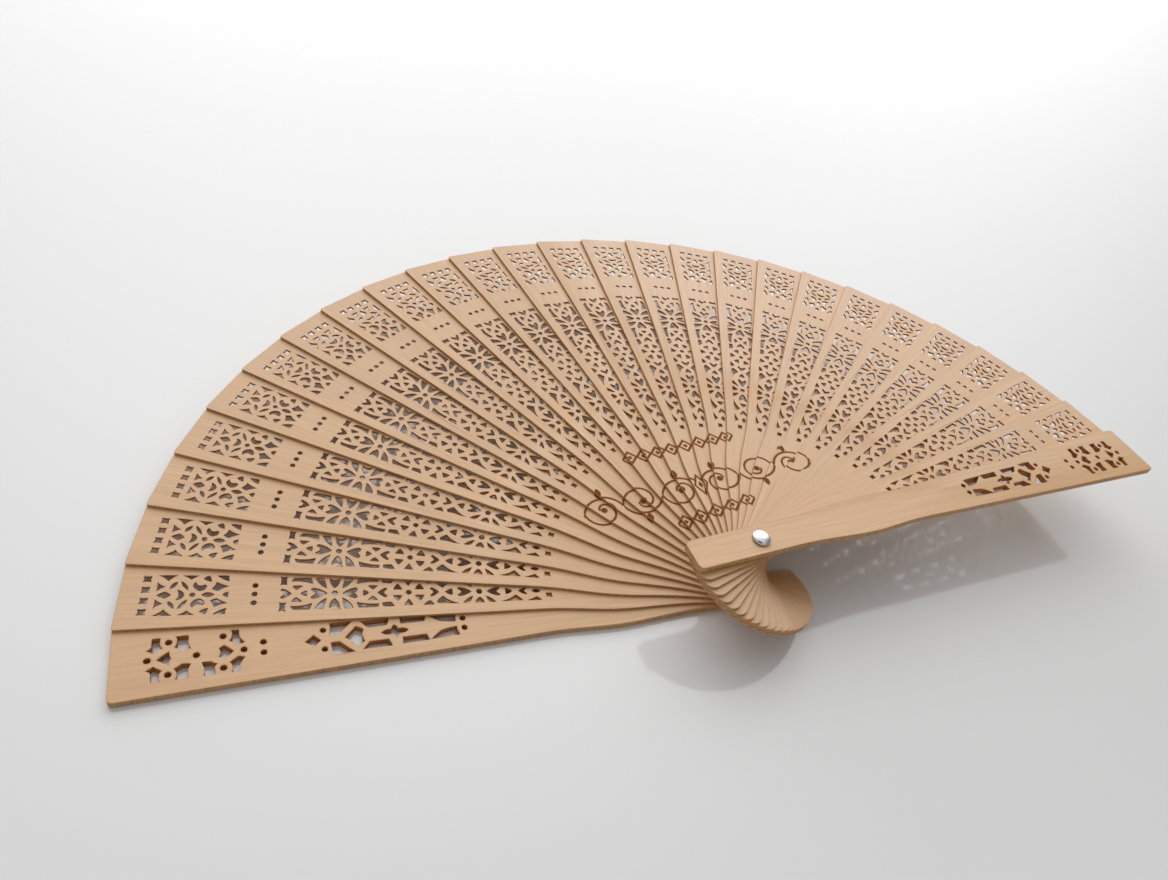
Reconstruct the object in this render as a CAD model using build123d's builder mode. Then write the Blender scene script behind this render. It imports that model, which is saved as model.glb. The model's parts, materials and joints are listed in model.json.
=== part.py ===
from build123d import *

import os
from math import radians, sin

# Wooden brise hand fan, lying open on its back guard.
# The origin is on the rivet's axis, at the level that the fan rests on. +Z points out of the
# front guard, and +Y runs along the middle of the open spread. Each kind of stick is drawn once,
# lying along +X from the rivet with its underside at z = 0, then turned and stacked.

# Driving dimensions, in millimetres and degrees
BLADE_COUNT = 25
GUARD_THICKNESS = 2.2
BLADE_THICKNESS = 0.75
STACK_GAP = 0.2  # clear space between neighbouring sticks
STICK_REACH = 179.3  # rivet to the sticks' outer end
TAIL_REACH = 24.6  # rivet to the end of the tail
END_HALF_WIDTH = 10.8
TAIL_HALF_WIDTH = 5.2
BLADE_CORNERS = (0.6, 2.8)  # radii at the outer end and at the tail
GUARD_CORNERS = (1.3, 1.9)
OPEN_ANGLE = 172.0  # from the back guard to the front guard

SHANK_DIAMETER = 3.0
SHANK_BORE = 1.5
BORE_CLEARANCE = 0.1  # on the radius, in every stick
HEAD_DIAMETER = 5.9
CAP_HEIGHT = 1.5
CAP_BRIM = 0.4  # height of the cap's upright rim
CAP_WALL = 0.5
CAP_LIFT = 0.1  # space between the cap and the front guard
FLANGE_THICKNESS = 0.6
CAP_STEM_LENGTH = 6.0

RIBBON_WIDTH = 4.0
RIBBON_THICKNESS = 0.1
RIBBON_REACH = 148.6  # rivet to the ribbon's middle
RIBBON_TAB = 3.0  # glued length behind the stick before
RIBBON_EDGE_SPACE = 0.3  # between the ribbon's step and the edge that it steps over
GLUE_FILM = 0.02

TAPER_FROM = 80.0  # the sides are straight from here to the outer end
TAPER_HALF_WIDTH = 7.15
# Where the wavy waist narrows and swells between the tail and the taper, and half its width there
WAIST = [(26, 5.9), (41, 7.0), (57, 6.45)]
WAIST_FROM = 12.0

# What follows from them
TAPER_SLOPE = (END_HALF_WIDTH - TAPER_HALF_WIDTH) / (STICK_REACH - TAPER_FROM)
STICK_STEPS = BLADE_COUNT + 1
STEP_ANGLE = OPEN_ANGLE / STICK_STEPS
FIRST_ANGLE = (180 - OPEN_ANGLE) / 2
PITCH = BLADE_THICKNESS + STACK_GAP
BLADES_FROM = GUARD_THICKNESS + STACK_GAP
FRONT_FROM = BLADES_FROM + BLADE_COUNT * PITCH
STACK_TOP = FRONT_FROM + GUARD_THICKNESS
BORE_DIAMETER = SHANK_DIAMETER + 2 * BORE_CLEARANCE

os.makedirs("parts", exist_ok=True)


def write(part, label):
    """Label a finished piece and write it to its own file."""
    part.label = label
    export_step(part, f"parts/{label}.step")


def bowed_side(start, end, bow, centre):
    """One side of a cut-out, bent away from the centre by its bow, or towards it if negative."""
    if bow == 0:
        return Line(start, end)
    middle = (Vector(*start) + Vector(*end)) / 2
    across = (Vector(*end) - Vector(*start)).rotate(Axis.Z, 90).normalized()
    if across.dot(middle - centre) < 0:
        across = -across
    return ThreePointArc(start, middle + across * bow, end)


def cut(corners, bows):
    """Cut-out with the given corners, and one bow for each side in turn."""
    centre = sum((Vector(*corner) for corner in corners), Vector()) / len(corners)
    with BuildLine() as rim:
        for start, end, bow in zip(corners, corners[1:] + corners[:1], bows):
            bowed_side(start, end, bow, centre)
    return make_face(rim.edges(), mode=Mode.PRIVATE)


def leaf(start, end, half_width):
    """Pointed leaf between two tips."""
    middle = (Vector(*start) + Vector(*end)) / 2
    across = (Vector(*end) - Vector(*start)).rotate(Axis.Z, 90).normalized() * half_width
    with BuildLine() as rim:
        ThreePointArc(start, middle + across, end)
        ThreePointArc(end, middle - across, start)
    return make_face(rim.edges(), mode=Mode.PRIVATE)


def pinched(x, y, length, width, pinch):
    """Rectangle whose four sides bend inwards."""
    left, right = x - length / 2, x + length / 2
    low, high = y - width / 2, y + width / 2
    return cut([(left, low), (right, low), (right, high), (left, high)], [-pinch] * 4)


def heart(tip, lobes, notch, half_width):
    """Heart on the centreline, given by the x of its tip, of its lobes and of the notch between."""
    shoulder = lobes + 0.16 * (tip - lobes)
    low_lobe, high_lobe = (lobes, -0.6 * half_width), (lobes, 0.6 * half_width)
    corners = [(tip, 0), (shoulder, -half_width), low_lobe, (notch, 0), high_lobe,
               (shoulder, half_width)]
    full = 0.07 * abs(lobes - tip)
    return cut(corners, [full, 0.15, 0.12, 0.12, 0.15, full])


def bud(back, tip, half_width):
    """Bud on the centreline: a flat back, and two full sides that meet at a tip."""
    return cut([(back, -half_width), (tip, 0), (back, half_width)], [0.22, 0.22, 0.08])


def dot(x, y, diameter):
    """Round hole."""
    return Face(Wire.make_circle(diameter / 2, Plane((x, y, 0))))


def blade_cuts_on_centre():
    """The blade's cut-outs that straddle its centreline, from the tip inwards."""
    return [
        # Tip block
        leaf((155.3, 0), (158.7, 0), 0.8),
        dot(161.0, 0, 1.5),
        cut([(163.0, 0), (165.0, -1.7), (164.5, 0), (165.0, 1.7)], [0.45, -0.1, -0.1, 0.45]),
        cut([(166.4, 0), (168.0, -1.2), (170.0, 0), (168.0, 1.2)], [0.12] * 4),
        bud(151.9, 153.3, 0.9),
        # Plain band
        dot(145.0, 0, 1.6),
        # Main block
        heart(135.2, 138.2, 137.1, 1.7),
        bud(131.1, 132.9, 0.95),
        heart(125.5, 130.1, 128.8, 1.95),
        dot(123.5, 0, 1.7),
        heart(121.4, 117.2, 118.2, 1.95),
        bud(115.7, 114.1, 1.0),
        heart(111.7, 109.0, 109.9, 1.7),
        dot(102.85, 0, 1.65),
        heart(94.1, 96.7, 95.8, 1.65),
        bud(90.2, 92.4, 1.2),
        heart(84.5, 88.8, 87.6, 1.65),
        dot(82.3, 0, 1.8),
        heart(80.1, 76.0, 77.1, 1.65),
        bud(74.4, 72.3, 1.15),
        heart(70.6, 67.9, 68.7, 1.3),
        leaf((63.7, 0), (66.4, 0), 0.7),
    ]


def blade_cuts_beside():
    """The blade's cut-outs on one side of its centreline, from the tip inwards."""
    flat_bow = 0.05
    return [
        # Column of pinched squares
        pinched(172.9, 1.8, 2.15, 2.1, 0.16),
        pinched(172.9, 5.4, 2.15, 2.1, 0.16),
        # Tip block, edge row
        cut([(151.9, 4.45), (152.1, 6.4), (155.2, 6.4)], [-flat_bow, flat_bow, 0.3]),
        cut([(156.5, 4.3), (158.7, 5.4), (157.3, 6.4), (156.7, 5.4)], [0.2, 0.15, 0.1, 0.05]),
        cut([(159.7, 6.45), (164.2, 6.5), (161.8, 5.05)], [flat_bow, -0.12, -0.12]),
        cut([(165.2, 6.6), (170.4, 6.6), (167.6, 4.6)], [flat_bow, -0.25, -0.22]),
        # Tip block, middle row
        cut([(151.8, 2.8), (154.7, 1.15), (156.3, 2.0), (155.2, 4.25)], [-0.12, 0.1, -0.2, -0.2]),
        cut(
            [(157.6, 2.5), (159.1, 1.2), (161.1, 2.8), (160.5, 4.3), (159.5, 3.1), (158.2, 3.4)],
            [0.25, 0.35, 0.25, -0.2, -0.1, 0.25],
        ),
        leaf((162.1, 1.5), (164.3, 4.6), 0.5),
        leaf((166.9, 2.0), (165.2, 4.4), 0.58),
        cut([(168.0, 2.75), (170.2, 1.3), (170.3, 4.35)], [-0.15, -0.1, -0.18]),
        # Plain band
        dot(145.0, 2.9, 1.6),
        # Main block, outer flower and its frame
        pinched(137.45, 4.4, 1.9, 3.0, 0.2),
        cut([(132.2, 2.7), (135.1, 2.65), (133.9, 1.2)], [0.08, 0.22, 0.05]),
        cut([(129.6, 3.2), (130.1, 5.4), (134.5, 5.45), (135.4, 4.1)], [0.1, 0, 0.15, -0.4]),
        cut([(125.7, 1.55), (128.9, 5.25), (126.6, 5.4)], [0.5, flat_bow, 0.08]),
        cut([(122.1, 5.25), (123.55, 1.65), (125.0, 5.25), (123.55, 4.5)], [0.5, 0.5, -0.15, -0.15]),
        cut([(121.5, 1.5), (120.8, 5.25), (118.3, 5.1)], [0.08, flat_bow, 0.5]),
        cut([(111.4, 3.7), (111.5, 4.9), (116.9, 5.05), (117.5, 3.1)], [0.05, 0.05, 0.1, -0.3]),
        cut([(111.6, 2.5), (114.4, 2.55), (113.0, 1.05)], [0.08, 0.12, 0.12]),
        cut([(107.9, 3.2), (110.4, 3.5), (110.3, 4.8), (106.8, 4.75)], [0.08, 0, 0.05, 0]),
        # Main block, middle flower
        cut([(104.7, 1.0), (107.3, 1.0), (106.0, 3.05)], [flat_bow, 0.18, 0.18]),
        cut([(101.6, 4.4), (102.9, 2.2), (104.3, 4.4)], [0.05, 0.05, 0.05]),
        cut([(98.4, 1.0), (101.1, 1.0), (99.75, 3.05)], [flat_bow, 0.18, 0.18]),
        cut([(95.7, 4.4), (98.8, 4.45), (96.9, 2.85)], [0.05, 0.12, 0.2]),
        # Main block, inner flower and sweeping leaves
        cut([(88.2, 4.05), (94.2, 4.1), (94.9, 3.2), (93.0, 1.4)], [0.05, 0.1, 0.12, -0.45]),
        cut([(84.2, 1.55), (87.3, 3.9), (85.4, 4.0)], [0.35, flat_bow, 0.1]),
        cut([(81.0, 3.95), (82.3, 1.95), (83.7, 3.95)], [0.3, 0.3, 0.05]),
        cut([(80.4, 1.6), (79.6, 3.8), (77.5, 3.8)], [0.1, flat_bow, 0.3]),
        cut([(69.3, 3.4), (71.4, 1.25), (76.3, 3.6)], [0.1, -0.4, 0.1]),
        cut([(63.6, 3.35), (65.1, 2.0), (68.3, 3.4)], [0.1, -0.15, 0.08]),
        pinched(61.2, 1.55, 1.9, 1.7, 0.1),
    ]


def guard_cuts_on_centre():
    """The guard's cut-outs that straddle its centreline, from the tip inwards."""
    return [
        # Tip block: two arrowheads between three dots
        dot(170.6, 0, 1.75),
        cut([(168.4, 0), (165.4, -2.15), (165.0, 0), (165.4, 2.15)], [0.05, -0.15, -0.15, 0.05]),
        dot(158.9, 0, 1.75),
        cut([(149.8, 0), (152.2, -2.1), (153.5, -1.2), (153.1, 0), (153.5, 1.2), (152.2, 2.1)],
            [0.05, 0.05, -0.1, -0.1, 0.05, 0.05]),
        dot(147.3, 0, 1.75),
        # Main block: a pointed square, a large kite and a cross with rounded arms
        cut([(127.6, 0), (129.5, -1.9), (131.9, 0), (129.5, 1.9)], [-0.08] * 4),
        cut([(116.1, -1.9), (118.2, -3.1), (121.3, 0), (118.2, 3.1), (116.1, 1.9)],
            [0.1, -0.05, -0.05, 0.1, -0.5]),
        cut([(103.9, 0), (106.8, -0.75), (107.7, -2.15), (108.6, -0.75), (111.5, 0),
             (108.6, 0.75), (107.7, 2.15), (106.8, 0.75)],
            [0.45, 0.25, 0.25, 0.45, 0.45, 0.25, 0.25, 0.45]),
    ]


def guard_cuts_beside():
    """The guard's cut-outs on one side of its centreline, from the tip inwards."""
    return [
        cut([(167.5, 6.4), (167.7, 4.9), (167.0, 3.3), (169.1, 1.85), (171.0, 2.95),
             (169.7, 3.9), (169.6, 6.4)],
            [-0.1, -0.2, -0.1, -0.1, -0.15, 0.05, 0.05]),
        dot(165.6, 4.8, 1.75),
        cut([(160.9, 6.4), (160.9, 4.4), (160.2, 2.3), (162.4, 2.0), (164.3, 3.2),
             (163.6, 4.8), (163.9, 6.4)],
            [0.05, -0.1, 0.05, -0.1, -0.15, -0.15, 0.05]),
        dot(152.4, 4.8, 1.75),
        cut([(148.4, 6.4), (148.3, 4.2), (147.0, 2.3), (148.9, 1.8), (150.9, 3.25),
             (150.2, 4.8), (150.5, 6.4)],
            [-0.05, -0.15, 0.05, -0.05, -0.15, -0.2, 0.05]),
        dot(142.4, 1.6, 1.7),
        dot(126.9, 3.0, 1.65),
        cut([(122.8, 1.2), (125.3, 1.2), (125.1, 5.0), (118.9, 4.9)], [0.05, -0.2, 0.05, -0.1]),
        cut([(109.7, 2.25), (114.9, 2.25), (117.0, 4.5), (108.9, 4.5)], [0, -0.05, 0, 0.05]),
        cut([(99.2, 2.15), (105.8, 2.2), (106.0, 4.25), (98.6, 4.15)], [0, 0, 0, 0.1]),
        cut([(90.3, 0.75), (94.8, 1.5), (98.1, 4.0), (89.7, 3.7)], [0.1, 0.1, 0.05, -0.2]),
        dot(88.2, 1.6, 1.75),
    ]


def guard_cut_by_one_dot():
    """The guard cell that mirrors the one across the inner dot of the tip block."""
    return cut([(154.4, 6.4), (154.6, 4.8), (153.8, 3.2), (155.4, 2.4), (157.6, 2.3),
                (157.0, 4.3), (157.2, 6.4)],
               [0.05, -0.2, -0.1, 0.05, 0.05, -0.1, 0.05])


def half_width(reach):
    """Half the width of a stick at a distance from the rivet, on its straight taper."""
    return TAPER_HALF_WIDTH + (reach - TAPER_FROM) * TAPER_SLOPE


def pierced_stick(thickness, corners, cuts_on_centre, cuts_beside, cuts_on_one_side):
    """Flat stick: a straight taper with openwork, a wavy waist, and a tail past the rivet."""
    with BuildSketch() as openwork:
        add(cuts_beside)
        mirror(about=Plane.XZ)
        add(cuts_on_centre)
        add(cuts_on_one_side)
    with BuildSketch() as profile:
        with BuildLine():
            tail = Polyline(
                (-TAIL_REACH, 0), (-TAIL_REACH, TAIL_HALF_WIDTH), (WAIST_FROM, TAIL_HALF_WIDTH))
            waist = Spline(
                tail @ 1, *WAIST, (TAPER_FROM, TAPER_HALF_WIDTH),
                tangents=[(1, 0), (1, TAPER_SLOPE)],
            )
            Polyline(waist @ 1, (STICK_REACH, END_HALF_WIDTH), (STICK_REACH, 0))
            mirror(about=Plane.XZ)
        make_face()
        fillet(profile.vertices().group_by(Axis.X)[-1], corners[0])
        fillet(profile.vertices().group_by(Axis.X)[0], corners[1])
        Circle(BORE_DIAMETER / 2, mode=Mode.SUBTRACT)
        add(openwork.sketch, mode=Mode.SUBTRACT)
    with BuildPart() as stick:
        extrude(profile.sketch, amount=thickness)
    return stick.part


def stick_place(number, height):
    """Place of a stick in the open fan: 0 is the back guard, and the last is the front guard."""
    return Location((0, 0, height), (0, 0, 180 - FIRST_ANGLE - number * STEP_ANGLE))


def underside(number):
    """Height of a stick's underside."""
    return 0 if number == 0 else BLADES_FROM + (number - 1) * PITCH


# The sticks
blade_blank = pierced_stick(
    BLADE_THICKNESS, BLADE_CORNERS, blade_cuts_on_centre(), blade_cuts_beside(), [])
# One cell of the back guard was never knocked out, so it is cut on one side only.
one_cell = guard_cut_by_one_dot()
back_blank = pierced_stick(
    GUARD_THICKNESS, GUARD_CORNERS, guard_cuts_on_centre(), guard_cuts_beside(), [one_cell])
front_blank = pierced_stick(
    GUARD_THICKNESS, GUARD_CORNERS, guard_cuts_on_centre(), guard_cuts_beside(),
    [one_cell, one_cell.mirror(Plane.XZ)])

with BuildPart() as back_guard:
    with Locations(stick_place(0, 0)):
        add(back_blank)
    with BuildSketch():
        Circle(HEAD_DIAMETER / 2)
    extrude(amount=FLANGE_THICKNESS, mode=Mode.SUBTRACT)
write(back_guard.part, "back_guard")

for number in range(1, BLADE_COUNT + 1):
    with BuildPart() as blade:
        with Locations(stick_place(number, underside(number))):
            add(blade_blank)
    write(blade.part, f"blade_{number:02d}")

with BuildPart() as front_guard:
    with Locations(stick_place(STICK_STEPS, FRONT_FROM)):
        add(front_blank)
write(front_guard.part, "front_guard")

# The rivet: a tubular post whose flange is let into the back guard, and a domed cap whose stem
# is pressed into the post
CAP_FROM = STACK_TOP + CAP_LIFT
POST_TOP = CAP_FROM + CAP_HEIGHT - CAP_WALL
with BuildPart() as rivet_post:
    with BuildSketch(Plane.XY):
        Circle(HEAD_DIAMETER / 2)
    extrude(amount=FLANGE_THICKNESS)
    with BuildSketch(Plane.XY.offset(FLANGE_THICKNESS)):
        Circle(SHANK_DIAMETER / 2)
    extrude(amount=POST_TOP - FLANGE_THICKNESS)
    with BuildSketch(Plane.XY.offset(POST_TOP)):
        Circle(SHANK_BORE / 2)
    extrude(amount=-CAP_STEM_LENGTH - CAP_WALL, mode=Mode.SUBTRACT)
write(rivet_post.part, "rivet_post")

with BuildPart() as rivet_cap:
    with BuildSketch(Plane.XZ):
        with BuildLine():
            brim = Polyline(
                (HEAD_DIAMETER / 2 - CAP_WALL, CAP_FROM), (HEAD_DIAMETER / 2, CAP_FROM),
                (HEAD_DIAMETER / 2, CAP_FROM + CAP_BRIM),
            )
            TangentArc((0, CAP_FROM + CAP_HEIGHT), brim @ 1, tangent=(1, 0))
            ceiling = Polyline(
                (0, CAP_FROM + CAP_HEIGHT), (0, POST_TOP - CAP_STEM_LENGTH),
                (SHANK_BORE / 2, POST_TOP - CAP_STEM_LENGTH), (SHANK_BORE / 2, POST_TOP),
                (SHANK_DIAMETER / 2, POST_TOP),
            )
            TangentArc(ceiling @ 1, brim @ 0, tangent=(1, 0))
        make_face()
    revolve(axis=Axis.Z)
write(rivet_cap.part, "rivet_cap")

# The stay ribbon, in one length from each stick to the next. A length lies on the back of its own
# stick, steps down past the edge of the stick before and is glued behind that one. The first is
# glued on the face of the back guard, because the fan lies on that guard's back, and it ends
# under the first blade's edge, out of sight.
stick_edge = half_width(RIBBON_REACH)
edge_before = 2 * RIBBON_REACH * sin(radians(STEP_ANGLE / 2)) - stick_edge
own_end = RIBBON_TAB + RIBBON_EDGE_SPACE - stick_edge
step_at = edge_before - RIBBON_EDGE_SPACE

for number in range(1, STICK_STEPS + 1):
    back = underside(number)
    if number == 1:
        glued_on = GUARD_THICKNESS + GLUE_FILM + RIBBON_THICKNESS
        tab_end = stick_edge - RIBBON_EDGE_SPACE
    else:
        glued_on = underside(number - 1) - GLUE_FILM
        tab_end = edge_before + RIBBON_TAB
    with BuildPart() as ribbon:
        with BuildSketch(Plane.YZ.offset(RIBBON_REACH - RIBBON_WIDTH / 2)):
            with BuildLine():
                Polyline(
                    (own_end, back), (step_at, back), (step_at, glued_on), (tab_end, glued_on),
                    (tab_end, glued_on - RIBBON_THICKNESS),
                    (step_at - RIBBON_THICKNESS, glued_on - RIBBON_THICKNESS),
                    (step_at - RIBBON_THICKNESS, back - RIBBON_THICKNESS),
                    (own_end, back - RIBBON_THICKNESS),
                    close=True,
                )
            make_face()
        extrude(amount=RIBBON_WIDTH)
    turned = stick_place(number, 0) * ribbon.part
    write(turned, f"stay_ribbon_{number:02d}")
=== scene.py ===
"""Pierced wooden hand fan: the finished looks around the fan's measured frame."""

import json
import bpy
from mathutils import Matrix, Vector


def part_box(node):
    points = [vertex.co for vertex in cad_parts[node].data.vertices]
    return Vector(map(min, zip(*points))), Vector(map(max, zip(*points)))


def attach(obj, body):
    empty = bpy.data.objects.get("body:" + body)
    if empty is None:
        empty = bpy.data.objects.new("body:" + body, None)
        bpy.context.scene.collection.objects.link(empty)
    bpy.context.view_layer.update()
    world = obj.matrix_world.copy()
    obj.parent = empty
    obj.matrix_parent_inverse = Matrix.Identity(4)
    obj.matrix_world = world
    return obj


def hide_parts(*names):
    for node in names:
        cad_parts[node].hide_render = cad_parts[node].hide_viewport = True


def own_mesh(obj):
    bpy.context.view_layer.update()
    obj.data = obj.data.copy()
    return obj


bl_info = {
    "name": "Pierced Wooden Hand Fan",
    "version": (1, 0, 0),
    "blender": (4, 5, 0),
    "location": "View3D > Sidebar > Fan",
    "description": "Builds the sticks, the rivet and the stay ribbon of a laser-cut hand fan",
    "category": "Add Mesh",
}

from math import cos, pi, radians, sin

import bmesh
import bpy
from mathutils import Euler, Matrix, Vector

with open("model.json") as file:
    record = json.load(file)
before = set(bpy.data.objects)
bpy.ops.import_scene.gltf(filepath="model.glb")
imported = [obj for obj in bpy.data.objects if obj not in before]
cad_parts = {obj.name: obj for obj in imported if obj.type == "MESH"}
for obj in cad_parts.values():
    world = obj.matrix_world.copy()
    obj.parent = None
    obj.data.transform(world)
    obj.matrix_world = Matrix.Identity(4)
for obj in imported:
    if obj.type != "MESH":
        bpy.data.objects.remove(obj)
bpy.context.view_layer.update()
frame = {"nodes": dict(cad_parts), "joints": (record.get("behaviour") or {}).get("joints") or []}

MM = 0.001
FOLD = next(joint for joint in frame["joints"] if joint["name"] == "fan_fold")
BLADES = sorted(name for name in frame["nodes"] if name.startswith("blade_"))
RIBBONS = sorted(name for name in frame["nodes"] if name.startswith("stay_ribbon_"))
STICKS = ["back_guard", *BLADES, "front_guard"]
OPEN_ANGLE = radians(FOLD["range_deg"][1])
STEP_ANGLE = OPEN_ANGLE / (len(STICKS) - 1)


def linear(hex_colour):
    """Linear colour of an sRGB hex value."""
    channels = [int(hex_colour[start:start + 2], 16) / 255 for start in (1, 3, 5)]
    return [c / 12.92 if c <= 0.04045 else ((c + 0.055) / 1.055) ** 2.4 for c in channels]


def colour_property(name, description, hex_colour):
    """Colour that a user can change, given by its sRGB hex value."""
    return bpy.props.FloatVectorProperty(
        name=name, description=description, subtype="COLOR", size=3, min=0, max=1,
        default=linear(hex_colour))


def length_property(name, description, default):
    """Length that a user can change, in metres."""
    return bpy.props.FloatProperty(
        name=name, description=description, unit="LENGTH", min=0, default=default, precision=5)


def amount_property(name, description, default):
    """Plain number that a user can change."""
    return bpy.props.FloatProperty(name=name, description=description, min=0, default=default)


class WoodSettings(bpy.types.PropertyGroup):
    pale: colour_property("Pale wood", "Early wood between the growth lines", "#d8aa75")
    tan: colour_property("Tan wood", "Late wood along the growth lines", "#c99965")
    pore: colour_property("Pores", "Short open pores along the grain", "#a37c57")
    edge: colour_property("Outer edge", "Wood of a stick's outer edge", "#cfa06c")
    edge_streak: colour_property("Edge streak", "Darker layers in the outer edge", "#a87a4a")
    char: colour_property("Browned wall", "Hole's wall, browned by the laser as it cut", "#b87f42")
    soot: colour_property("Sooty wall", "Darkest streaks on a browned wall", "#7c4a22")
    line_spacing: length_property("Growth lines", "Distance between growth lines", 1.1 * MM)
    pore_width: length_property("Pore width", "Width of a pore across the grain", 0.22 * MM)
    scorch_width: length_property("Scorch width", "Browned rim along each cut", 0.22 * MM)
    blade_ease: length_property("Blade edge", "Height of a blade's eased edge", 0.03 * MM)
    guard_ease: length_property("Guard edge", "Height of a guard's eased edge", 0.16 * MM)


class OrnamentSettings(bpy.types.PropertyGroup):
    burn: colour_property("Burnt line", "Line engraved by the laser", "#7a4415")
    toast: colour_property("Toasted rim", "Wood browned beside the line", "#ae763c")
    line_width: length_property("Line width", "Width of the burnt line", 0.85 * MM)
    scroll_reach: length_property("Scroll", "Rivet to the scroll's middle", 34 * MM)
    scroll_cell: length_property("Curl length", "Length of one curl of the scroll", 13.6 * MM)
    scroll_height: length_property("Curl height", "Height of one curl of the scroll", 4.7 * MM)
    upper_reach: length_property("Upper band", "Rivet to the upper lozenge band", 52 * MM)
    lower_reach: length_property("Lower band", "Rivet to the lower lozenge band", 21.8 * MM)
    lozenge: length_property("Lozenge", "Half a lozenge's width", 2.6 * MM)


class RivetSettings(bpy.types.PropertyGroup):
    nickel: colour_property("Nickel", "Nickel plate on the rivet", "#dcdddf")
    polish: amount_property("Roughness", "Roughness of the plate", 0.16)


class RibbonSettings(bpy.types.PropertyGroup):
    thread: colour_property("Thread", "Silk thread of the ribbon", "#e9dcc4")
    shade: colour_property("Between threads", "Shade between the threads", "#b9a482")
    thread_spacing: length_property("Thread spacing", "Distance between threads", 0.25 * MM)
    fold: length_property("Fold", "Radius of a fold along the ribbon's step", 0.03 * MM)


class StageSettings(bpy.types.PropertyGroup):
    camera_place: bpy.props.FloatVectorProperty(
        name="Camera place", description="Where the camera stands", subtype="TRANSLATION",
        unit="LENGTH", size=3, default=(-0.1519, -0.1287, 0.2213))
    camera_turn: bpy.props.FloatVectorProperty(
        name="Camera turn", description="Which way the camera looks", subtype="EULER",
        unit="ROTATION", size=3, default=(radians(45.99), radians(-12.41), radians(-20.48)))
    lens: bpy.props.FloatProperty(
        name="Lens", description="Focal length", unit="CAMERA", default=27.58)
    floor: colour_property("Table", "White lacquered table top", "#e6e6e6")
    floor_size: length_property("Table size", "Length of the table's side", 6.0)
    room_light: amount_property("Room light", "Brightness of the room all round", 0.28)
    back_light: amount_property("Back light", "Brightness of the low panel behind the fan", 2.1)
    top_light: amount_property("Top light", "Brightness of the three high panels", 0.5)


# Shared helpers


def add_node(tree, kind, inputs=None, **settings):
    """Add a node to a tree, with its settings, and set or link its inputs."""
    node = tree.nodes.new(kind)
    for name, value in settings.items():
        setattr(node, name, value)
    for socket, value in (inputs or {}).items():
        if isinstance(value, bpy.types.NodeSocket):
            tree.links.new(value, node.inputs[socket])
        else:
            node.inputs[socket].default_value = value
    return node


def new_material(name):
    """Empty node material, with its Principled BSDF."""
    material = bpy.data.materials.new(name)
    material.use_nodes = True
    return material, material.node_tree, material.node_tree.nodes["Principled BSDF"]


def rgba(colour):
    """Colour with an alpha of one, as a socket takes it."""
    return (*colour, 1)


def heading(number):
    """Direction of a stick in the open fan, from +X: 0 is the back guard."""
    return (pi + OPEN_ANGLE) / 2 - number * STEP_ANGLE


def finish_piece(shape, name, node_name, body, materials):
    """Make a mesh shape into a piece that stands for a node and rides on its body."""
    mesh = bpy.data.meshes.new(name)
    shape.to_mesh(mesh)
    shape.free()
    for material in materials:
        mesh.materials.append(material)
    piece = bpy.data.objects.new(name, mesh)
    bpy.context.scene.collection.objects.link(piece)
    mesh.set_sharp_from_angle(angle=radians(32))
    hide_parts(node_name)
    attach(piece, body)
    return piece


def merged_copy(node_name):
    """Copy of a node's mesh, with its loose triangles joined into one skin."""
    shape = bmesh.new()
    shape.from_mesh(frame["nodes"][node_name].data)
    bmesh.ops.remove_doubles(shape, verts=shape.verts, dist=0.5e-6)
    return shape


# Wood


def grain_vector(tree, scale):
    """Place along, across and up a stick, stretched by a scale for each direction."""
    place = add_node(tree, "ShaderNodeAttribute", attribute_name="place")
    mapping = add_node(
        tree, "ShaderNodeMapping", {"Vector": place.outputs["Vector"], "Scale": scale})
    return mapping.outputs["Vector"]


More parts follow.
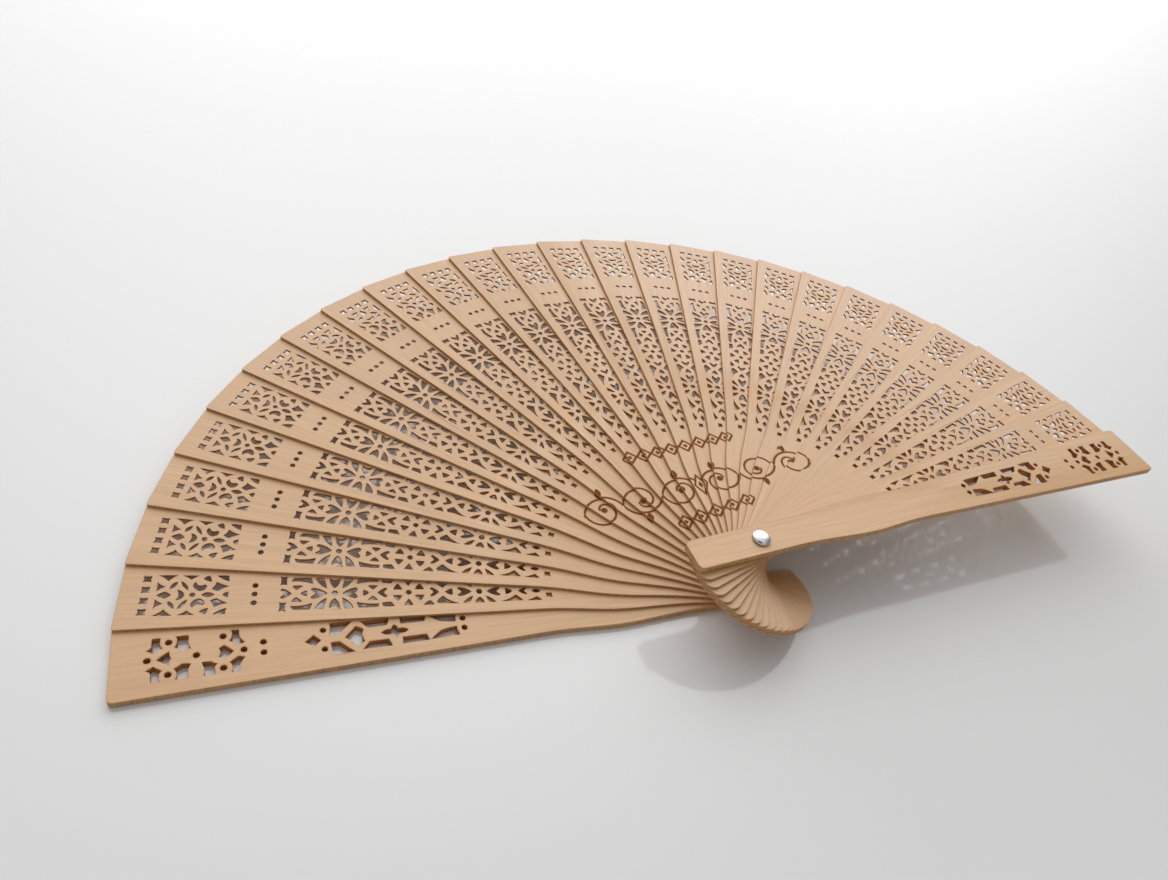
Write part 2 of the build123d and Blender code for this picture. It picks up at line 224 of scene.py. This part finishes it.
def sanded_birch(name, wood, ornament=None):
    """Sanded birch: pale satin wood, with fine growth lines, short pores and slow tone changes."""
    material, tree, surface = new_material(name)
    line, pore = 1 / wood.line_spacing, 1 / wood.pore_width
    # Plain-sawn figure: contour lines of a slow noise, closer together where it is steep
    hill = add_node(tree, "ShaderNodeTexNoise", {
        "Vector": grain_vector(tree, (9, line / 7, line / 7)), "Scale": 1, "Detail": 1.5})
    rings = add_node(tree, "ShaderNodeMath", {0: hill.outputs[0], 1: 13}, operation="MULTIPLY")
    ring = add_node(tree, "ShaderNodeMath", {0: rings.outputs[0]}, operation="FRACT")
    streak = add_node(tree, "ShaderNodeTexNoise", {
        "Vector": grain_vector(tree, (28, line, line)), "Scale": 1, "Detail": 4,
        "Roughness": 0.6})
    tone = add_node(tree, "ShaderNodeTexNoise", {
        "Vector": grain_vector(tree, (6, 40, 17)), "Scale": 1, "Detail": 2})
    fibre = add_node(tree, "ShaderNodeTexNoise", {
        "Vector": grain_vector(tree, (pore / 22, pore, pore)), "Scale": 1, "Detail": 3,
        "Roughness": 0.65})
    late = add_node(tree, "ShaderNodeMath", {
        0: ring.outputs[0], 1: 0.12, 2: streak.outputs[0]}, operation="MULTIPLY_ADD")
    lateness = add_node(tree, "ShaderNodeMapRange", {
        "Value": late.outputs[0], "From Min": 0.35, "From Max": 0.8})
    colour = add_node(tree, "ShaderNodeMix", {
        "Factor": lateness.outputs[0], 6: rgba(wood.pale), 7: rgba(wood.tan)}, data_type="RGBA")
    toned = add_node(tree, "ShaderNodeMapRange", {
        "Value": tone.outputs[0], "From Min": 0.3, "From Max": 0.7, "To Min": 0.95,
        "To Max": 1.05})
    colour = add_node(tree, "ShaderNodeVectorMath", {
        0: colour.outputs[2], "Scale": toned.outputs[0]}, operation="SCALE")
    pores = add_node(tree, "ShaderNodeMapRange", {
        "Value": fibre.outputs[0], "From Min": 0.56, "From Max": 0.74, "To Max": 0.3})
    colour = add_node(tree, "ShaderNodeMix", {
        "Factor": pores.outputs[0], 6: colour.outputs[0], 7: rgba(wood.pore)},
        data_type="RGBA")
    # The laser browns the face along each cut.
    scorch = add_node(tree, "ShaderNodeAttribute", attribute_name="scorch")
    soft = add_node(tree, "ShaderNodeMath", {
        0: scorch.outputs["Fac"], 1: streak.outputs[0]}, operation="MULTIPLY")
    colour = add_node(tree, "ShaderNodeMix", {
        "Factor": soft.outputs[0], 6: colour.outputs[2], 7: rgba(wood.char)},
        data_type="RGBA")
    rough = add_node(tree, "ShaderNodeMapRange", {
        "Value": fibre.outputs[0], "To Min": 0.34, "To Max": 0.46})
    if ornament:
        depth = burnt_ornament(tree, ornament, fibre.outputs[0])
        for shade, start, end in ((ornament.toast, 0, 0.45), (ornament.burn, 0.35, 0.95)):
            share = add_node(tree, "ShaderNodeMapRange", {
                "Value": depth, "From Min": start, "From Max": end})
            colour = add_node(tree, "ShaderNodeMix", {
                "Factor": share.outputs[0], 6: colour.outputs[2], 7: rgba(shade)},
                data_type="RGBA")
        # Char in a burnt line is dull and reflects hardly any light.
        rough = add_node(tree, "ShaderNodeMix", {0: depth, 2: rough.outputs[0], 3: 1})
        gloss = add_node(tree, "ShaderNodeMapRange", {
            "Value": depth, "To Min": 0.5, "To Max": 0.12})
        tree.links.new(gloss.outputs[0], surface.inputs["Specular IOR Level"])
    bump = add_node(tree, "ShaderNodeBump", {
        "Height": fibre.outputs[0], "Strength": 0.35, "Distance": 0.05 * MM})
    tree.links.new(colour.outputs[2], surface.inputs["Base Color"])
    tree.links.new(bump.outputs["Normal"], surface.inputs["Normal"])
    tree.links.new(rough.outputs[0], surface.inputs["Roughness"])
    surface.inputs["IOR"].default_value = 1.85
    # Fibres run along every stick, so the sheen spreads across it.
    across = add_node(tree, "ShaderNodeTangent", direction_type="RADIAL", axis="Z")
    tree.links.new(across.outputs[0], surface.inputs["Tangent"])
    surface.inputs["Anisotropic"].default_value = 0.8
    return material


def laser_cut_birch(name, face, layer):
    """Laser-cut wall of birch: browned matt wood, with darker layers through its thickness."""
    material, tree, surface = new_material(name)
    streak = add_node(tree, "ShaderNodeTexNoise", {
        "Vector": grain_vector(tree, (2200, 2200, 300)), "Scale": 1, "Detail": 3})
    layers = add_node(tree, "ShaderNodeMapRange", {
        "Value": streak.outputs[0], "From Min": 0.45, "From Max": 0.75})
    colour = add_node(tree, "ShaderNodeMix", {
        "Factor": layers.outputs[0], 6: rgba(face), 7: rgba(layer)}, data_type="RGBA")
    bump = add_node(tree, "ShaderNodeBump", {
        "Height": streak.outputs[0], "Strength": 0.4, "Distance": 0.04 * MM})
    tree.links.new(colour.outputs[2], surface.inputs["Base Color"])
    tree.links.new(bump.outputs["Normal"], surface.inputs["Normal"])
    surface.inputs["Roughness"].default_value = 0.72
    return material


def burnt_ornament(tree, ornament, fibre):
    """Depth of burn of the engraved scroll and of the two lozenge bands above and below it.

    It spans the open fan's plain middle, so it is drawn in the open fan's own coordinates. Each
    step works out one value in millimetres from those before it, and the last one is the
    distance from the middle of the nearest burnt line.
    """
    half_line = ornament.line_width / 2 / MM
    cell, height = ornament.scroll_cell / MM, ornament.scroll_height / MM
    lozenge, reach = ornament.lozenge / MM, ornament.scroll_reach / MM
    stem_radius = ((cell / 2) ** 2 + height ** 2) / (2 * height)
    curls, far = 3, 9  # curls on each side, and a distance that burns nothing
    # The rest of its shapes, in millimetres; a volute coils through an angle in radians.
    coil_angle, coil_end, coil_tightening, eye = 8.6, 0.7, 1.7, 1.15
    bud_length, bud_width, tall_lozenge, tall_seed = 2, 1.05, 2.1, 0.8
    lozenge_space, lozenge_seed = 0.1, 0.95
    steps = [
        ("side", "ABSOLUTE", "x"),
        ("level", "SUBTRACT", "y", reach),
        # Each curl's own axes: across it, and up towards its crest
        ("phase", "MULTIPLY", "side", pi / cell),
        ("wave", "SINE", "phase"),
        ("way", "SIGN", "wave"),
        ("up", "MULTIPLY", "level", "way"),
        ("along", "SUBTRACT", "side", cell / 2),
        ("across", "WRAP", "along", cell / 2, -cell / 2),
        ("across_squared", "MULTIPLY", "across", "across"),
        # Stem: arcs that rise and fall by turns
        ("rise", "ADD", "up", stem_radius - height),
        ("span", "MULTIPLY_ADD", "rise", "rise", "across_squared"),
        ("span", "SQRT", "span"),
        ("stem", "SUBTRACT", "span", stem_radius),
        ("stem", "ABSOLUTE", "stem"),
        ("below", "LESS_THAN", "up", 0),
        ("stem", "MULTIPLY_ADD", "below", far, "stem"),
        # Volute: it leaves the stem at the curl's end and coils in to a round eye.
        ("from_eye", "MULTIPLY_ADD", "up", "up", "across_squared"),
        ("from_eye", "SQRT", "from_eye"),
        ("bearing", "ARCTAN2", "up", "across"),
        ("turned", "WRAP", "bearing", 0, -2 * pi),
        ("left", "MULTIPLY_ADD", "turned", 1 / coil_angle, 1),
        ("drawn_in", "POWER", "left", coil_tightening),
        ("coil", "MULTIPLY_ADD", "drawn_in", cell / 2 - coil_end, coil_end),
        ("volute", "SUBTRACT", "from_eye", "coil"),
        ("volute", "ABSOLUTE", "volute"),
        ("eye", "SUBTRACT", "from_eye", eye - half_line),
        # Bud on the crest
        ("bud_up", "SUBTRACT", "up", height + bud_length),
        ("bud_up", "DIVIDE", "bud_up", bud_length),
        ("bulge", "MULTIPLY", "bud_up", "bud_up"),
        ("bulge", "MULTIPLY_ADD", "bulge", bud_width, half_line - bud_width),
        ("aside", "ABSOLUTE", "across"),
        ("bud", "ADD", "aside", "bulge"),
        ("scroll", "MINIMUM", "stem", "volute"),
        ("scroll", "MINIMUM", "scroll", "eye"),
        ("scroll", "MINIMUM", "scroll", "bud"),
        ("beyond", "GREATER_THAN", "side", curls * cell + half_line),
        ("scroll", "MULTIPLY_ADD", "beyond", far, "scroll"),
        # Tall lozenge where the two halves of the scroll meet
        ("tall", "ABSOLUTE", "level"),
        ("tall", "MULTIPLY_ADD", "tall", 0.5, "side"),
        ("inside", "LESS_THAN", "tall", tall_lozenge),
        ("scroll", "MULTIPLY_ADD", "inside", far, "scroll"),
        ("rim", "SUBTRACT", "tall", tall_lozenge),
        ("rim", "ABSOLUTE", "rim"),
        ("seed", "SUBTRACT", "tall", tall_seed - half_line),
        ("scroll", "MINIMUM", "scroll", "rim"),
        ("nearest", "MINIMUM", "scroll", "seed"),
    ]
    for band_reach, count in ((ornament.upper_reach / MM, 8), (ornament.lower_reach / MM, 5)):
        steps += [
            ("shifted", "ADD", "x", lozenge * (1 - count % 2)),
            ("sideways", "WRAP", "shifted", lozenge, -lozenge),
            ("sideways", "ABSOLUTE", "sideways"),
            ("upwards", "SUBTRACT", "y", band_reach),
            ("upwards", "ABSOLUTE", "upwards"),
            ("diagonal", "ADD", "sideways", "upwards"),
            ("rim", "SUBTRACT", "diagonal", lozenge - lozenge_space),
            ("rim", "ABSOLUTE", "rim"),
            ("rim", "MULTIPLY", "rim", cos(pi / 4)),
            ("seed", "SUBTRACT", "diagonal", lozenge_seed - half_line),
            ("band", "MINIMUM", "rim", "seed"),
            ("beyond", "GREATER_THAN", "side", count * lozenge),
            ("band", "MULTIPLY_ADD", "beyond", far, "band"),
            ("nearest", "MINIMUM", "nearest", "band"),
        ]
    objects = add_node(tree, "ShaderNodeTexCoord")
    in_mm = add_node(tree, "ShaderNodeMapping", {
        "Vector": objects.outputs["Object"], "Scale": (1 / MM, 1 / MM, 1 / MM)})
    axes = add_node(tree, "ShaderNodeSeparateXYZ", {0: in_mm.outputs[0]})
    place = add_node(tree, "ShaderNodeAttribute", attribute_name="place")
    in_stick = add_node(tree, "ShaderNodeSeparateXYZ", {0: place.outputs["Vector"]})
    geometry = add_node(tree, "ShaderNodeNewGeometry")
    facing = add_node(tree, "ShaderNodeSeparateXYZ", {0: geometry.outputs["Normal"]})
    # The laser is even on pale wood and weaker on the hard pores.
    steps += [
        ("uneven", "MULTIPLY_ADD", "fibre", 0.5, -0.25),
        ("wavering", "ADD", "nearest", "uneven"),
        # Only the upper face is engraved, and only to just under the next blade's edge.
        ("covered", "MULTIPLY_ADD", "reach", -sin(STEP_ANGLE), 4.9 * MM),
        ("bare", "GREATER_THAN", "offset", "covered"),
        ("upper", "GREATER_THAN", "facing", 0.5),
        ("shown", "MULTIPLY", "bare", "upper"),
        ("hidden", "SUBTRACT", 1, "shown"),
        ("distance", "MULTIPLY_ADD", "hidden", far, "wavering"),
    ]
    values = {"x": axes.outputs[0], "y": axes.outputs[1], "fibre": fibre,
              "reach": in_stick.outputs[0], "offset": in_stick.outputs[1],
              "facing": facing.outputs[2]}
    for name, operation, *inputs in steps:
        sockets = {index: values.get(value, value) for index, value in enumerate(inputs)}
        values[name] = add_node(tree, "ShaderNodeMath", sockets, operation=operation).outputs[0]
    depth = add_node(tree, "ShaderNodeMapRange", {
        "Value": values["distance"], "From Min": half_line - 0.28, "From Max": half_line + 0.2,
        "To Min": 1, "To Max": 0}, interpolation_type="SMOOTHSTEP")
    return depth.outputs[0]


def ease_rim(shape, faces, width, drop, outwards):
    """Ring round every edge of a flat face: its outer side drops, and its inner side stays."""
    rim = {vert for face in faces for vert in face.verts}
    bmesh.ops.inset_region(shape, faces=faces, thickness=width, use_boundary=True)
    inner = {vert for face in faces for vert in face.verts}
    bmesh.ops.translate(shape, verts=list(rim - inner), vec=(0, 0, -drop * outwards))
    return inner


def is_wall(face):
    """Whether a face is a cut wall, and not level or an eased edge."""
    return abs(face.normal.z) < 0.4


def outer_edge(shape):
    """Walls round a stick's outline, followed from its tip; the others are round its holes."""
    tip = max(shape.verts, key=lambda vert: vert.co.length)
    found, ahead = set(), list(tip.link_faces)
    while ahead:
        face = ahead.pop()
        if face not in found and is_wall(face):
            found.add(face)
            ahead += [f for edge in face.edges for f in edge.link_faces]
    return found


def carve_stick(number, ease, wood, materials):
    """One stick, with eased and scorched rims, and its own grain."""
    node_name = STICKS[number]
    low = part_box(node_name)[0].z
    shape = merged_copy(node_name)
    level = {}
    for outwards in (1, -1):
        level[outwards] = [f for f in shape.faces if f.normal.z * outwards > 0.9]
    scorch = shape.verts.layers.float.new("scorch")
    for vert in shape.verts:
        vert[scorch] = 1
    for outwards, faces in level.items():
        for width, drop in ((ease, ease), (wood.scorch_width, 0)):
            inner = ease_rim(shape, faces, width, drop, outwards)
        for vert in inner:
            vert[scorch] = 0
    place = shape.verts.layers.float_vector.new("place")
    into_stick = Matrix.Rotation(-heading(number), 3, "Z")
    # Each stick reads the wood's pattern at a level of its own, so that no two are alike.
    own_level = Vector((0, 0, number * 0.1 - low))
    for vert in shape.verts:
        vert[place] = into_stick @ vert.co + own_level
    for face in shape.faces:
        face.smooth = True
        face.material_index = int(is_wall(face))
    for face in outer_edge(shape):
        face.material_index = 2
    return finish_piece(shape, f"{node_name}_carved", node_name, node_name, materials)


class FAN_OT_carve_guards(bpy.types.Operator):
    """Carve the two thick outer sticks"""
    bl_idname = "fan.carve_guards"
    bl_label = "Guards"

    def execute(self, context):
        wood = context.scene.fan_wood
        materials = [sanded_birch("guard_sanded_birch", wood),
                     laser_cut_birch("guard_laser_cut_birch", wood.char, wood.soot),
                     laser_cut_birch("guard_edge_birch", wood.edge, wood.edge_streak)]
        for number in (0, len(STICKS) - 1):
            carve_stick(number, wood.guard_ease, wood, materials)
        return {"FINISHED"}


class FAN_OT_carve_blades(bpy.types.Operator):
    """Carve the thin pierced sticks, with the ornament that is burnt across them"""
    bl_idname = "fan.carve_blades"
    bl_label = "Blades"

    def execute(self, context):
        wood = context.scene.fan_wood
        materials = [sanded_birch("blade_sanded_birch", wood, context.scene.fan_ornament),
                     laser_cut_birch("blade_laser_cut_birch", wood.char, wood.soot),
                     laser_cut_birch("blade_edge_birch", wood.edge, wood.edge_streak)]
        for number in range(1, len(STICKS) - 1):
            carve_stick(number, wood.blade_ease, wood, materials)
        return {"FINISHED"}


# Rivet


def nickel_plate(rivet):
    """Bright nickel plate, tumbled before plating: a clear reflection with faint fine marks."""
    material, tree, surface = new_material("tumbled_nickel_plate")
    objects = add_node(tree, "ShaderNodeTexCoord")
    marks = add_node(tree, "ShaderNodeTexNoise", {
        "Vector": objects.outputs["Object"], "Scale": 1 / (0.35 * MM), "Detail": 4})
    rough = add_node(tree, "ShaderNodeMapRange", {
        "Value": marks.outputs[0], "To Min": 0.6 * rivet.polish, "To Max": 1.4 * rivet.polish})
    bump = add_node(tree, "ShaderNodeBump", {
        "Height": marks.outputs[0], "Strength": 0.06, "Distance": 0.02 * MM})
    tree.links.new(rough.outputs[0], surface.inputs["Roughness"])
    tree.links.new(bump.outputs["Normal"], surface.inputs["Normal"])
    surface.inputs["Base Color"].default_value = rgba(rivet.nickel)
    surface.inputs["Metallic"].default_value = 1
    return material


def turned_shape(profile):
    """Solid turned about the rivet's axis, from a half outline that starts and ends on it."""
    shape = bmesh.new()
    verts = [shape.verts.new((reach, 0, height)) for reach, height in profile]
    edges = [shape.edges.new(pair) for pair in zip(verts, verts[1:])]
    bmesh.ops.spin(shape, geom=verts + edges, cent=(0, 0, 0), axis=(0, 0, 1), angle=2 * pi,
                   steps=64, use_merge=True)
    bmesh.ops.remove_doubles(shape, verts=shape.verts, dist=0.5e-6)
    bmesh.ops.recalc_face_normals(shape, faces=shape.faces)
    for face in shape.faces:
        face.smooth = True
    return shape


def arc(reach, height, start, end, steps=8):
    """Quarter of an ellipse in the half outline, from one angle to another, in degrees."""
    (centre_x, radius_x), (centre_z, radius_z) = reach, height
    angles = [radians(start + (end - start) * step / steps) for step in range(steps + 1)]
    return [(centre_x + radius_x * cos(a), centre_z + radius_z * sin(a)) for a in angles]


class FAN_OT_turn_rivet(bpy.types.Operator):
    """Turn the rivet's domed cap and its flanged post"""
    bl_idname = "fan.turn_rivet"
    bl_label = "Rivet"

    def execute(self, context):
        nickel = nickel_plate(context.scene.fan_rivet)
        low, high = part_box("rivet_cap")
        radius, seat = high.x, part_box("front_guard")[1].z + 0.1 * MM
        brim, under, stem = 0.4 * MM, 0.3 * MM, 0.75 * MM
        # Domed cap, rounded under at its brim, on its stem
        dome = [(stem, low.z), (stem, seat), (radius - under, seat)]
        dome += arc((radius - under, under), (seat + under, under), -90, 0)[1:]
        dome += arc((0, radius), (seat + brim, high.z - seat - brim), 0, 90, 20)[1:-1]
        shape = turned_shape([(0, low.z), *dome, (0, high.z)])
        finish_piece(shape, "rivet_cap_domed", "rivet_cap", "back_guard", [nickel])
        post_low, post_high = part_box("rivet_post")
        # Flanged post, with the blind bore that the cap's stem is driven into
        flange, shank, bore = post_high.x, 1.5 * MM, 0.8 * MM
        face, corner = 0.6 * MM, 0.15 * MM
        post = [(0, post_low.z), *arc((flange - corner, corner), (corner, corner), -90, 0),
                (flange, face), (shank, face), (shank, post_high.z), (bore, post_high.z)]
        shape = turned_shape([*post, (bore, low.z), (0, low.z)])
        finish_piece(shape, "rivet_post_flanged", "rivet_post", "back_guard",
                     [nickel])
        return {"FINISHED"}


# Stay ribbon


def woven_satin(ribbon):
    """Satin ribbon: smooth cream silk, with fine threads along it and a soft sheen."""
    material, tree, surface = new_material("woven_cream_satin")
    place = add_node(tree, "ShaderNodeAttribute", attribute_name="place")
    spacing = 1 / ribbon.thread_spacing
    mapping = add_node(tree, "ShaderNodeMapping", {
        "Vector": place.outputs["Vector"], "Scale": (spacing, spacing / 4, spacing)})
    warp = add_node(tree, "ShaderNodeTexWave", {
        "Vector": mapping.outputs[0], "Scale": 1 / pi, "Distortion": 0.6, "Detail": 1},
        bands_direction="X")
    weft = add_node(tree, "ShaderNodeTexWave", {
        "Vector": mapping.outputs[0], "Scale": 1 / pi, "Distortion": 0.8, "Detail": 1},
        bands_direction="Y")
    weave = add_node(tree, "ShaderNodeMath", {
        0: weft.outputs["Fac"], 1: 0.35, 2: warp.outputs["Fac"]}, operation="MULTIPLY_ADD")
    colour = add_node(tree, "ShaderNodeMix", {
        "Factor": weave.outputs[0], 6: rgba(ribbon.shade), 7: rgba(ribbon.thread)},
        data_type="RGBA")
    bump = add_node(tree, "ShaderNodeBump", {
        "Height": weave.outputs[0], "Strength": 0.5, "Distance": 0.03 * MM})
    tree.links.new(colour.outputs[2], surface.inputs["Base Color"])
    tree.links.new(bump.outputs["Normal"], surface.inputs["Normal"])
    surface.inputs["Roughness"].default_value = 0.42
    surface.inputs["Sheen Weight"].default_value = 0.3
    return material


class FAN_OT_lay_ribbon(bpy.types.Operator):
    """Lay the ribbon's lengths, each from its own stick to the stick before"""
    bl_idname = "fan.lay_ribbon"
    bl_label = "Stay ribbon"

    def execute(self, context):
        ribbon = context.scene.fan_ribbon
        satin = woven_satin(ribbon)
        for number, node_name in enumerate(RIBBONS, start=1):
            shape = merged_copy(node_name)
            bmesh.ops.dissolve_limit(
                shape, angle_limit=radians(1), verts=shape.verts, edges=shape.edges)
            along = Vector((cos(heading(number)), sin(heading(number)), 0))
            folds = [e for e in shape.edges
                     if abs((e.verts[1].co - e.verts[0].co).normalized().dot(along)) > 0.99]
            bmesh.ops.bevel(shape, geom=folds, offset=ribbon.fold, segments=3, affect="EDGES",
                            profile=0.5, material=-1, offset_type="OFFSET")
            place = shape.verts.layers.float_vector.new("place")
            into_stick = Matrix.Rotation(-heading(number), 3, "Z")
            for vert in shape.verts:
                vert[place] = into_stick @ vert.co
            for face in shape.faces:
                face.smooth = True
            body = STICKS[number]
            piece = finish_piece(
                shape, f"{node_name}_woven", node_name, body, [satin])
            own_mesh(piece)
        return {"FINISHED"}


# Stage


def white_lacquer(stage):
    """White lacquered table top: an even pale surface with a clear mirror-like reflection."""
    material, tree, surface = new_material("white_lacquer")
    surface.inputs["Base Color"].default_value = rgba(stage.floor)
    surface.inputs["Roughness"].default_value = 0.1
    surface.inputs["IOR"].default_value = 1.72
    return material


class FAN_OT_set_stage(bpy.types.Operator):
    """Set up the table, the soft studio light and the camera"""
    bl_idname = "fan.set_stage"
    bl_label = "Stage"

    def execute(self, context):
        scene, stage = context.scene, context.scene.fan_stage
        shape = bmesh.new()
        bmesh.ops.create_grid(shape, x_segments=1, y_segments=1, size=stage.floor_size / 2)
        clear_of_fan = (0, 0, -0.05 * MM)
        bmesh.ops.translate(shape, verts=shape.verts, vec=clear_of_fan)
        mesh = bpy.data.meshes.new("table_top")
        shape.to_mesh(mesh)
        shape.free()
        mesh.materials.append(white_lacquer(stage))
        table_top = bpy.data.objects.new("table_top", mesh)
        scene.collection.objects.link(table_top)

        world = bpy.data.worlds.new("pale_studio")
        world.use_nodes = True
        scene.world = world
        tree = world.node_tree
        # Wide soft panels in a dim room, and a small dark screen above that the rivet shows:
        # each one's height and bearing in degrees, brightness, and cosine of its half width
        wide = 0.6
        panels = [(24, 68, stage.back_light, wide), (30, 112, 0.7 * stage.top_light, wide),
                  (65, 67, stage.top_light, wide), (60, 247, stage.top_light, wide),
                  (68, 238, -1.7 * stage.top_light, 0.87)]
        direction = add_node(tree, "ShaderNodeTexCoord")
        light = stage.room_light
        for height, bearing, brightness, edge in panels:
            middle = Euler((0, -radians(height), radians(bearing))).to_matrix() @ Vector((1, 0, 0))
            towards = add_node(tree, "ShaderNodeVectorMath", {
                0: direction.outputs["Generated"], 1: middle}, operation="DOT_PRODUCT")
            glow = add_node(tree, "ShaderNodeMapRange", {
                "Value": towards.outputs["Value"], "From Min": edge, "From Max": 1,
                "To Max": brightness}, interpolation_type="SMOOTHSTEP")
            total = add_node(tree, "ShaderNodeMath", {0: glow.outputs[0], 1: light})
            light = total.outputs[0]
        background = tree.nodes["Background"]
        background.inputs["Color"].default_value = rgba(linear("#f8f8f8"))
        tree.links.new(light, background.inputs["Strength"])

        camera = bpy.data.objects.new("camera", bpy.data.cameras.new("camera"))
        camera.location, camera.rotation_euler = stage.camera_place, stage.camera_turn
        camera.data.lens = stage.lens
        camera.data.clip_start = 0.01
        scene.collection.objects.link(camera)
        scene.camera = camera
        scene.view_settings.view_transform = "Standard"
        return {"FINISHED"}


class FAN_PT_fan(bpy.types.Panel):
    """Lists the fan's pieces and what a user can change"""
    bl_idname = "FAN_PT_fan"
    bl_label = "Pierced wooden fan"
    bl_space_type = "VIEW_3D"
    bl_region_type = "UI"
    bl_category = "Fan"

    def draw(self, context):
        for operator in OPERATORS:
            self.layout.operator(operator.bl_idname)
        for name, group in SETTINGS.items():
            box = self.layout.box()
            for field in group.__annotations__:
                box.prop(getattr(context.scene, name), field)


SETTINGS = {
    "fan_wood": WoodSettings,
    "fan_ornament": OrnamentSettings,
    "fan_rivet": RivetSettings,
    "fan_ribbon": RibbonSettings,
    "fan_stage": StageSettings,
}
OPERATORS = [
    FAN_OT_carve_guards,
    FAN_OT_carve_blades,
    FAN_OT_turn_rivet,
    FAN_OT_lay_ribbon,
    FAN_OT_set_stage,
]
CLASSES = [*SETTINGS.values(), *OPERATORS, FAN_PT_fan]


def register():
    for cls in CLASSES:
        bpy.utils.register_class(cls)
    for name, group in SETTINGS.items():
        setattr(bpy.types.Scene, name, bpy.props.PointerProperty(type=group))


def unregister():
    for name in SETTINGS:
        delattr(bpy.types.Scene, name)
    for cls in reversed(CLASSES):
        bpy.utils.unregister_class(cls)


def main():
    """Make every piece and the stage."""
    register()
    bpy.ops.fan.carve_guards()
    bpy.ops.fan.carve_blades()
    bpy.ops.fan.turn_rivet()
    bpy.ops.fan.lay_ribbon()
    bpy.ops.fan.set_stage()


if __name__ == "__main__":
    main()
